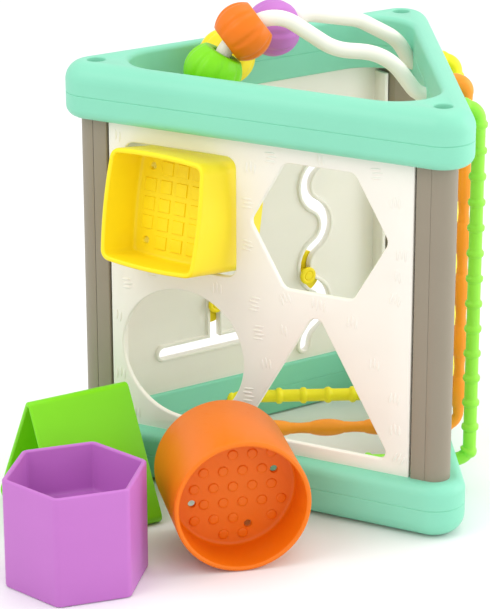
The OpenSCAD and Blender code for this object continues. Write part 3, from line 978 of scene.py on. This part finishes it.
def fillet_route(points: Sequence[Vector], bend: float, step: float) -> list[Vector]:
    """Rounds a route's corners as far as its straight stretches allow.

    Args:
        points: Corners of the route in millimetres.
        bend: The largest radius.
        step: Distance between the points of the result, about.

    Returns:
        Points along the rounded route.
    """
    path = [points[0]]
    for before, spot, after in zip(points, points[1:], points[2:]):
        back, ahead = before - spot, after - spot
        half = back.angle(ahead) / 2
        room = 0.49 * min(back.length, ahead.length)
        radius = min(bend, room * math.tan(half))
        back.normalize()
        ahead.normalize()
        middle = spot + (back + ahead).normalized() * radius / math.sin(half)
        arm = spot + back * radius / math.tan(half) - middle
        axis = arm.cross(spot + ahead * radius / math.tan(half) - middle)
        count = max(3, round((math.pi - 2 * half) * radius / step))
        for k in range(count + 1):
            turn = Matrix.Rotation((math.pi - 2 * half) * k / count, 3, axis)
            path.append(middle + turn @ arm)
    path.append(points[-1])
    even = [path[0]]
    for a, b in zip(path, path[1:]):
        count = max(1, round((b - a).length / step))
        even += [a.lerp(b, k / count) for k in range(1, count + 1)]
    return even


@dataclass
class BeadCoaster:
    """Two bent rods over the opening and the four beads on them."""

    rod: float = 3.5
    bead: float = 13.0
    end: float = 8.8
    length: float = 18.4
    bore: float = 4.9
    flutes: int = 8
    foot: float = 173.0
    front: tuple[Row, Row] = ((43.6, 25.1), (-95.6, -70.1))
    rear: tuple[Row, Row] = ((16.0, 72.7), (-57.5, -72.3))

    @staticmethod
    def ground(plane: tuple[Row, Row]) -> tuple[Vector, Vector]:
        """A rod plane's start and direction."""
        start, run = plane
        return Vector((*start, 0)), Vector((*run, 0)).normalized()

    def routes(self) -> tuple[list[Vector], list[Vector]]:
        """Corners of both rods, as in the CAD."""
        low = self.foot
        start, run = self.ground(self.front)
        hump = ((-6, low), (3.4, low), (18, 192.8), (41.5, 195.4), (69.1, 214.4), (88.1, 200.6), (104, low))
        front = [start + run * s + Vector((0, 0, z)) for s, z in hump]
        front.append(front[-1] + Vector((0, -18.8, 0)))
        start, run = self.ground(self.rear)
        hump = ((-6, low), (0.5, low), (8, 185.4), (28, 196.6), (55.5, 202.2), (62.5, 197.2),
                (86, 197.2), (104, low))
        rear = [start + run * s + Vector((0, 0, z)) for s, z in hump]
        rear.append(rear[-1] + Vector((-17.5 * math.cos(math.pi / 6), 17.5 * 0.5, 0)))
        return front, rear

    def bead_places(self) -> dict[str, tuple[Vector, Vector]]:
        """Middle and axis of every bead."""
        start, run = self.ground(self.front)
        up = Vector((0, 0, 1))
        places = {"orange": (start + run * 82 + up * 205.1, run * 0.809 - up * 0.588),
                  "green": (start + run * 95.5 + up * 188, run * 0.505 - up * 0.863)}
        start, run = self.ground(self.rear)
        places["purple"] = (start + run * 71 + up * 197.2, run.copy())
        places["yellow"] = (start + run * 94 + up * 186.5, run * 0.597 - up * 0.802)
        return places

    def fluted(self, radius: float, height: float, turn: float) -> float:
        """Presses shallow flutes into the barrel, fading towards its ends."""
        if radius <= self.bore + 1.0:
            return radius
        depth = 0.85 * max(0.0, 1 - (abs(height) / (self.length / 2)) ** 4)
        wave = 0.5 - 0.5 * math.cos(turn * self.flutes)
        return radius - depth * (1 - wave) ** 6 - 0.25 * depth * wave ** 2

    def bead_shape(self, name: str, place: Matrix) -> bpy.types.Object:
        """A barrel bead with eased ends, shallow flutes and a smooth bore."""
        half = self.length / 2
        sag = self.bead - self.end
        bend = (half ** 2 + sag ** 2) / (2 * sag)
        barrel = []
        for k in range(-10, 11):
            z = 0.94 * half * k / 10
            barrel.append((self.bead - bend + math.sqrt(bend ** 2 - z ** 2), z))
        last = barrel[-1][0]
        nose = [(last - 0.35, half - 0.2), (last - 1.0, half)]
        mouth = [(self.bore + 0.8, half), (self.bore + 0.2, half - 0.25), (self.bore, half - 0.9)]
        up = barrel + nose + mouth
        down = [(r, -z) for r, z in mouth[::-1] + nose[::-1]]
        return Bench.turned(name, up + down, place, 96, Ends.JOINED, lobes=self.fluted)

    def build(self) -> list[Piece]:
        """Builds the rods and the beads."""
        home = TRIANGLE.home
        pieces = []
        for word, corners, bend in zip(("front", "rear"), self.routes(), (26.0, 22.0)):
            route = [home @ p * MM for p in fillet_route(corners, bend, 2.0)]
            bar = Bench.pipe(f"{word}_bent_rod", route, [self.rod] * len(route), 8)
            pieces.append(Piece(Bench.smooth(bar, 60), Finish.ROD, "frame", (f"{word}_rod",)))
        for word, (middle, axis) in self.bead_places().items():
            turn = axis.to_track_quat("Z", "Y").to_matrix().to_4x4()
            shape = self.bead_shape(f"{word}_fluted_bead", home @ Matrix.Translation(middle) @ turn)
            bead = f"{word}_bead"
            pieces.append(Piece(Bench.smooth(shape, 50), Finish[word.upper()], bead, (bead,)))
        return pieces


@dataclass
class Strands:
    """Three soft strands from the top ring down the open side and across the bottom ring."""

    along: tuple[float, ...] = (-40.0, 0.0, 40.0)
    runs: tuple[float, ...] = (91.0, 139.0, 91.0)
    out: float = 21.2
    top: float = 178.8
    foot: float = 14.0
    bend: float = 6.5
    pitch: float = 11.75

    def route(self, index: int) -> list[Vector]:
        """Corners of a strand in the toy's space."""
        t = TRIANGLE
        place = t.at_side(2)
        x = self.along[index]
        end = t.opening - self.runs[index]
        spots = ((9.0, self.top), (self.out, self.top), (self.out, self.foot), (end, self.foot))
        return [place @ Vector((x, -(t.inradius + out), z)) for out, z in spots]

    def ringed(self, distance: float) -> float:
        """Radius of a strand with narrow rings."""
        near = abs((distance % self.pitch) - self.pitch / 2)
        swell = max(0.0, 1 - (near / 1.55) ** 2)
        return 3.0 + 0.95 * math.sqrt(swell)

    def swollen(self, distance: float) -> float:
        """Radius of a strand with long swells between narrow necks."""
        share = (distance % 25.0) / 25.0
        if share > 0.62:
            return 2.55 + 0.12 * math.cos((share - 0.62) / 0.38 * 2 * math.pi)
        return 2.67 + 1.3 * math.sin(share / 0.62 * math.pi) ** 0.7

    def build(self) -> list[Piece]:
        """Builds the three strands."""
        pieces = []
        dress = ((Finish.SOFT_GREEN, self.ringed), (Finish.SOFT_ORANGE, self.swollen),
                 (Finish.SOFT_YELLOW, self.ringed))
        for index, (word, (finish, shape)) in enumerate(zip(("green", "orange", "yellow"), dress)):
            route = fillet_route(self.route(index), self.bend, 0.55)
            walked, radii = 0.0, []
            for i, point in enumerate(route):
                walked += (point - route[i - 1]).length if i else 0.0
                radii.append(shape(walked))
            bar = Bench.pipe(f"{word}_soft_strand", [p * MM for p in route], radii, 6)
            pieces.append(Piece(Bench.smooth(bar, 60), finish, "frame", (f"{word}_strand",)))
        return pieces


@dataclass
class Cup:
    """One nesting cup, open at the top of its own Z, with a patterned floor and drain holes."""

    name: str
    finish: Finish
    outline: Callable[[float], Outline]
    place: Matrix
    tile_sides: int
    tile_reach: float
    tile_phase: float
    tiles: tuple[tuple[float, float], ...]
    drains: tuple[tuple[float, float], ...]
    depth: float = 48.5
    floor: float = 22.0
    wall: float = 2.2

    def body(self) -> bpy.types.Object:
        """The cup's wall, its rims and the floor part way down."""
        w, low, under = self.wall, -self.depth, -self.floor - self.wall
        rows = [(w + 1.8, under), (w + 0.8, under - 0.15), (w + 0.25, under - 0.7), (w, under - 1.8),
                (w, low + 0.9)]
        rows += [(w - 0.2, low + 0.25), (w - 0.7, low)]
        rows += [(0.8, low), (0.25, low + 0.25), (0.0, low + 0.8), (0.0, -8.0), (0.0, -1.0)]
        rows += [(1.1 - 1.1 * math.cos(a), -1.0 + math.sin(a))
                 for a in (math.pi * k / 10 for k in range(1, 10))]
        rows += [(w, -1.0), (w, 2.0 - self.floor), (w + 0.25, 0.9 - self.floor), (w + 0.8, 0.25 - self.floor),
                 (w + 1.8, -self.floor)]
        loops = [[self.place @ Vector((p.x, p.y, z)) * MM for p in self.outline(inset)] for inset, z in rows]
        return Bench.stack(self.name + "_cup_wall", loops, Ends.CAPPED)

    def tile(self, spot: tuple[float, float]) -> bpy.types.Object:
        """One raised tile of the floor pattern."""
        floor = -self.floor
        r = self.tile_reach
        segments = self.tile_sides if self.tile_sides < 12 else 24
        rows = [(r + 0.1, floor - 0.4), (r, floor + 0.05), (r - 0.12, floor + 0.38), (r - 0.4, floor + 0.58),
                (r - 0.9, floor + 0.62)]
        place = self.place @ Matrix.Translation((*spot, 0))
        return Bench.turned("tile", rows, place, segments, phase=self.tile_phase)

    def drain(self, spot: tuple[float, float]) -> bpy.types.Object:
        """Cutter of one drain hole."""
        place = self.place @ Matrix.Translation((*spot, 0))
        low, high = -self.floor - self.wall, -self.floor
        rows = [(2.3, low - 1), (1.9, low + 0.02), (1.6, low + 0.4), (1.6, high - 0.4), (1.9, high + 0.02),
                (2.3, high + 1)]
        return Bench.turned("drain", rows, place, 24)

    def build(self) -> Piece:
        """Builds the cup."""
        body = self.body()
        Bench.cut(body, [self.drain(spot) for spot in self.drains])
        whole = Bench.join(self.name + "_cup_wall", [body] + [self.tile(spot) for spot in self.tiles])
        node = self.name + "_cup"
        return Piece(Bench.smooth(whole, 38), self.finish, node, (node,))


class CupSet:
    """The four cups where the CAD has them."""

    @staticmethod
    def facing(at: tuple[float, float, float], heading: float, rise: float) -> Matrix:
        """A cup laid down so that its mouth looks along a heading."""
        return (TRIANGLE.home @ Matrix.Translation(at) @ Matrix.Rotation(math.radians(heading), 4, "Z")
                @ Matrix.Rotation(math.radians(90 - rise), 4, "X"))

    @staticmethod
    def sided(count: int, reach: float, bend: float, phase: float) -> Callable[[float], Outline]:
        """Straight-sided outline as a function of its inset."""
        def drawn(inset: float) -> Outline:
            """The outline, drawn in."""
            corners = ngon(count, reach - inset / math.cos(math.pi / count), phase)
            return rounded(corners, max(0.4, bend - inset * 0.9), 8)
        return drawn

    @staticmethod
    def cushion(width: float, bend: float) -> Callable[[float], Outline]:
        """Square outline with bulging sides as a function of its inset."""
        def drawn(inset: float) -> Outline:
            """The outline, drawn in."""
            reach = width / 2 - bend
            radius = max(0.4, bend - inset)
            edge = reach + radius - max(0.0, inset - bend + 0.4)
            swell, line = 218.0, []
            for quarter in range(4):
                turn = Matrix.Rotation(math.pi / 2 * quarter, 2)
                mid = edge - radius
                spots = [Vector((mid + radius * math.cos(a), mid + radius * math.sin(a)))
                         for a in (math.pi / 2 * k / 8 for k in range(9))]
                for j in range(1, 12):
                    x = mid * (1 - j / 6)
                    rise = math.sqrt(swell ** 2 - x * x) - math.sqrt(swell ** 2 - mid * mid)
                    spots.append(Vector((x, edge + rise)))
                line += [turn @ spot for spot in spots]
            return [Vector((p.x, p.y, 0)) for p in line]
        return drawn

    @staticmethod
    def grid(pitch: float, reach: float, keep: Callable[[float, float], bool]) -> tuple[Row, ...]:
        """Staggered rows of spots that pass a test."""
        spots = []
        rows = int(reach / (pitch * 0.866)) + 1
        for j in range(-rows, rows + 1):
            for i in range(-rows - 1, rows + 2):
                x, y = (i + (j % 2) / 2) * pitch, j * pitch * 0.866
                if keep(x, y):
                    spots.append((x, y))
        return tuple(spots)

    def build(self) -> list[Piece]:
        """Builds all four."""
        heading, rise, proud, far = -7.2, 11, 21, 16.6
        turn, tip = math.radians(heading), math.radians(rise)
        out = Vector((math.sin(turn) * math.cos(tip), -math.cos(turn) * math.cos(tip), math.sin(tip)))
        spot = Vector((-38.5, -(TRIANGLE.inradius + TRIANGLE.panel_out), 130.4)) + out * proud
        squares = tuple((8.3 * i, 8.3 * j) for i in range(-2, 3) for j in range(-2, 3) if abs(i) + abs(j) < 4)
        square = Cup("square", Finish.YELLOW, self.cushion(50, 5), self.facing(tuple(spot), heading, rise),
                     4, 4.2, 45, squares, ((far, far), (-far, far), (far, -far), (-far, -far)))
        drains = tuple(ngon(4, 19.0, 20))
        dots = self.grid(8.4, 24, lambda x, y: math.hypot(x, y) < 23.6
                         and min(math.hypot(x - a, y - b) for a, b in drains) > 4.2)
        round_cup = Cup("round", Finish.ORANGE,
                        lambda inset: [Vector((x, y, 0)) for x, y in ngon(112, 29.4 - inset)],
                        self.facing((28.3, -122.9, 29.4), 39, 0), 24, 2.3, 0, dots, drains)
        drains = tuple(ngon(3, 20.0, 0))
        cells = self.grid(9.4, 24, lambda x, y: math.hypot(x, y) < 20.8
                          and min(math.hypot(x - a, y - b) for a, b in drains) > 5.0)
        upright = (TRIANGLE.home @ Matrix.Translation((-32.1, -157.6, 48.5))
                   @ Matrix.Rotation(math.radians(45.6), 4, "Z"))
        hexagon = Cup("hexagon", Finish.PURPLE, self.sided(6, 31.2, 3.6, 0), upright, 6, 3.1, 30, cells,
                      drains)
        corners = tuple(ngon(3, 23.0, 90))
        wedges = self.grid(9.0, 30, lambda x, y: y > -12.5 and abs(x) * 1.732 + y < 25
                           and min(math.hypot(x - a, y - b) for a, b in corners) > 5.0)
        triangle = Cup("triangle", Finish.GREEN, self.sided(3, 68 / math.sqrt(3), 3.0, 90),
                       self.facing((-78.1, -119.9, 19.63), -32.5, 0), 3, 3.6, 90, wedges, corners)
        return [cup.build() for cup in (square, round_cup, hexagon, triangle)]


@dataclass
class CornerScrews:
    """Cross-head screws at the bottom of every well."""

    head: float = 3.5
    shaft: float = 1.5
    seat: float = 8.0

    def screw(self, place: Matrix) -> bpy.types.Object:
        """One screw, its head upward along its own Z, seated at the origin."""
        rows = [(0.4, -33), (self.shaft * 0.7, -32), (self.shaft, -30), (self.shaft, 0), (self.head, 0),
                (self.head, 0.5), (self.head - 0.2, 1.1), (self.head - 0.7, 1.7), (self.head - 1.5, 2.1),
                (0.5, 2.3)]
        shape = Bench.turned("screw", rows, place, 32)
        bars = [Bench.slab("bar", (-a, -b, 1.0), (a, b, 3.0), 0.12, place)
                for a, b in ((2.0, 0.45), (0.45, 2.0))]
        Bench.cut(shape, bars)
        return shape

    def build(self) -> list[Piece]:
        """Builds the screws of both rings."""
        t = TRIANGLE
        pieces = []
        for word, height, flip in (("top", t.height - self.seat, 0), ("bottom", self.seat, 180)):
            turn = Matrix.Rotation(math.radians(flip), 4, "X")
            places = [t.at_corner(i) @ Matrix.Translation((0, 0, height)) @ turn for i in range(3)]
            whole = Bench.join(f"{word}_cross_screws", [self.screw(place) for place in places])
            pieces.append(Piece(Bench.smooth(whole, 35), Finish.STEEL, "frame", (f"{word}_screws",)))
        return pieces


# ------------------------------------------------------------------ studio


@dataclass
class Studio:
    """Pale floor, soft lights and the camera, in metres and degrees."""

    eye: Spot = (0.47998, -0.99971, 0.48078)
    azimuth: float = 25.652
    elevation: float = 19.977
    roll: float = 0.427
    lens: float = 153.12
    shift: tuple[float, float] = (-0.1086, -0.0095)

    def floor(self) -> None:
        """Lays the floor."""
        Bench.clear()
        bpy.ops.mesh.primitive_plane_add(size=30.0, location=(0, 0, -0.0002))
        ground = bpy.context.object
        ground.name = "studio_floor"
        board = NodeBoard("studio_floor")
        cloud = board.noise(board.object_place(), 3, 2)
        tint = board.blend((0.86, 0.86, 0.86, 1), (0.9, 0.9, 0.9, 1), cloud)
        board.plug(board.shader.inputs["Base Color"], tint)
        board.plug(board.shader.inputs["Roughness"], cloud * 0.1 + 0.6)
        board.shader.inputs["Specular IOR Level"].default_value = 0.2
        ground.data.materials.append(board.material)

    def lamp(self, name: str, at: tuple[float, float, float], size: float, power: float) -> None:
        """Hangs a square soft light that looks at the toy."""
        Bench.clear()
        bpy.ops.object.light_add(type="AREA", location=at)
        lamp = bpy.context.object
        lamp.name = name
        lamp.data.size = size
        lamp.data.energy = power
        lamp.rotation_euler = (Vector((0, 0, 0.1)) - Vector(at)).to_track_quat("-Z", "Y").to_euler()

    def camera(self) -> None:
        """Sets up the camera."""
        az, el, roll = (math.radians(v) for v in (self.azimuth, self.elevation, self.roll))
        back = Vector((math.sin(az) * math.cos(el), -math.cos(az) * math.cos(el), math.sin(el)))
        right = (-back).cross(Vector((0, 0, 1))).normalized()
        up = right.cross(-back)
        across = right * math.cos(roll) + up * math.sin(roll)
        above = up * math.cos(roll) - right * math.sin(roll)
        turn = Matrix((across, above, back)).transposed().to_4x4()
        lens = bpy.data.cameras.new("studio_camera")
        lens.lens = self.lens
        lens.sensor_width = 36.0
        lens.shift_x, lens.shift_y = self.shift
        lens.clip_start, lens.clip_end = 0.05, 20
        view = bpy.data.objects.new("studio_camera", lens)
        bpy.context.scene.collection.objects.link(view)
        view.matrix_world = Matrix.Translation(Vector(self.eye) + TRIANGLE.home.translation * MM) @ turn
        bpy.context.scene.camera = view

    def build(self) -> None:
        """Builds floor, lights and camera."""
        self.floor()
        self.lamp("key_light", (-0.7, -1.1, 1.5), 1.1, 10)
        self.lamp("fill_light", (1.4, -0.8, 0.8), 1.3, 3.5)
        self.lamp("top_light", (0.1, 0.4, 1.6), 1.2, 6)
        self.lamp("open_side_light", (1.25, 0.85, 0.55), 1.2, 11)
        world = bpy.data.worlds.new("studio_world")
        world.use_nodes = True
        world.node_tree.nodes["Background"].inputs[0].default_value = (1, 1, 1, 1)
        world.node_tree.nodes["Background"].inputs[1].default_value = 0.92
        bpy.context.scene.world = world
        bpy.context.scene.view_settings.view_transform = "Standard"
        self.camera()


def main() -> None:
    """Builds every sub-assembly and the studio."""
    logging.basicConfig(level=logging.INFO, format="%(name)s: %(message)s")
    materials = {finish: finish.value.material() for finish in Finish}
    parts = (RingShells(), CornerPosts(), SorterPanel(), MazePanel(), Sliders(), BeadCoaster(), Strands(),
             CupSet(), CornerScrews())
    for part in parts:
        for piece in part.build():
            piece.install(materials)
    Studio().build()


if __name__ == "__main__":
    main()
